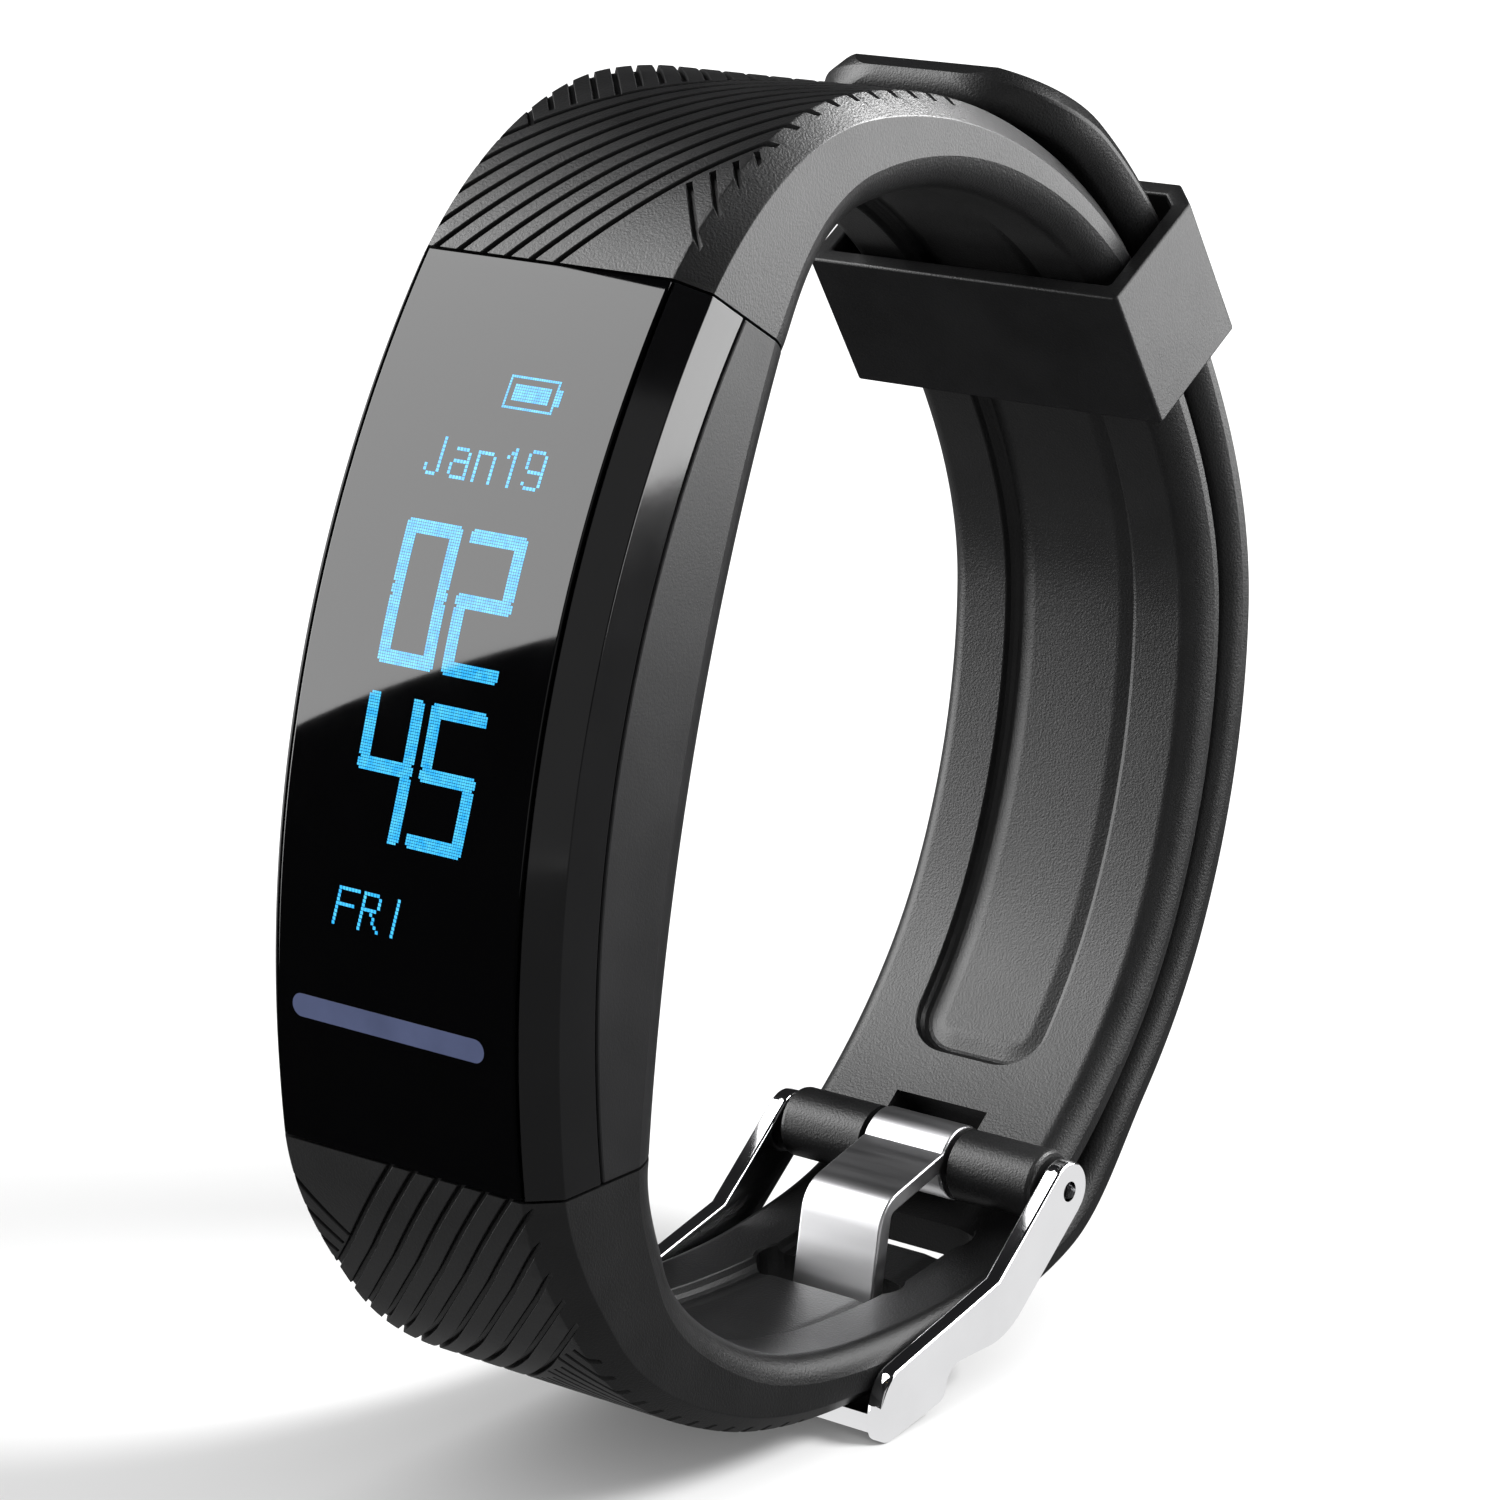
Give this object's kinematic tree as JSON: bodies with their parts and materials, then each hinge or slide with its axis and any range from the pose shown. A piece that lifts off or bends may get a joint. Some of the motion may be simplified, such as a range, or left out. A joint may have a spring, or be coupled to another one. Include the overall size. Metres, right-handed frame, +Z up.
{
  "type": "fitness tracker band",
  "caption": "Closed wrist band with a slim curved tracker module, grooved rubber straps, a pin buckle and a loose keeper loop.",
  "frame": {"origin": "middle of the wrist opening, on the band's centre plane", "axes": "+X across the band (along the wearer's arm), display towards -Y and leaning back 15 degrees, +Z up with the buckle at the bottom"},
  "size_m": [0.0194, 0.0591, 0.0671],
  "materials": {
    "strap_rubber": "fine matte moulded TPU",
    "keeper_rubber": "fine matte moulded TPU",
    "gloss_cover": "piano black",
    "case_matte": "fine spark-eroded texture",
    "dark_glass": "polished",
    "display": "unlit OLED",
    "buckle_chrome": "polished",
    "pin_steel": "turned",
    "contact_gold": "gold plated",
    "board_green": "solder mask",
    "chip_black": "moulded epoxy",
    "battery_foil": "laminated pouch foil",
    "gasket_silicone": "silicone",
    "flex_film": "polyimide film",
    "led_green": "clear epoxy"
  },
  "bodies": {
    "module_and_straps": {"front_lens": "dark_glass", "oled_panel": "display", "display_flex": "flex_film", "touch_electrode": "contact_gold", "top_cover": "gloss_cover", "case_gasket": "gasket_silicone", "mid_frame": "case_matte", "main_board": "board_green", "system_chip": "chip_black", "battery_cell": "battery_foil", "vibration_motor": "pin_steel", "pulse_sensor_board": "board_green", "pulse_led": "led_green", "pulse_photodiode": "chip_black", "sensor_window": "dark_glass", "lower_case": "case_matte", "charge_contact_1": "contact_gold", "charge_contact_2": "contact_gold", "case_screw_1": "pin_steel", "case_screw_2": "pin_steel", "case_screw_3": "pin_steel", "case_screw_4": "pin_steel", "strap_pin_upper": "pin_steel", "strap_pin_lower": "pin_steel", "buckle_strap": "strap_rubber", "tail_strap": "strap_rubber", "spring_bar_tube": "pin_steel", "spring_bar_coil": "pin_steel"},
    "buckle": {"buckle_frame": "buckle_chrome"},
    "tongue": {"buckle_tongue": "buckle_chrome"},
    "keeper": {"keeper_loop": "keeper_rubber"},
    "bar_tip_left": {"spring_bar_tip_left": "pin_steel"},
    "bar_tip_right": {"spring_bar_tip_right": "pin_steel"}
  },
  "joints": [
    {"name": "buckle_hinge", "type": "hinge", "parent": "module_and_straps", "child": "buckle", "pos_m": [0, 0.0076, -0.0243], "axis": [1, 0, 0], "range_deg": [0, 120]},
    {"name": "tongue_hinge", "type": "hinge", "parent": "module_and_straps", "child": "tongue", "pos_m": [0, 0.0076, -0.0243], "axis": [1, 0, 0], "range_deg": [-80, 0]},
    {"name": "keeper_slide", "type": "hinge", "parent": "module_and_straps", "child": "keeper", "pos_m": [0, -0.01988, -0.00111], "axis": [1, 0, 0], "range_deg": [-5, 1.7]},
    {"name": "bar_tip_left_press", "type": "slide", "parent": "module_and_straps", "child": "bar_tip_left", "axis": [1, 0, 0], "range_m": [0, 0.0009], "stiffness_N_per_m": 400, "springref_m": -0.001},
    {"name": "bar_tip_right_press", "type": "slide", "parent": "module_and_straps", "child": "bar_tip_right", "axis": [-1, 0, 0], "range_m": [0, 0.0009], "stiffness_N_per_m": 400, "springref_m": -0.001}
  ]
}
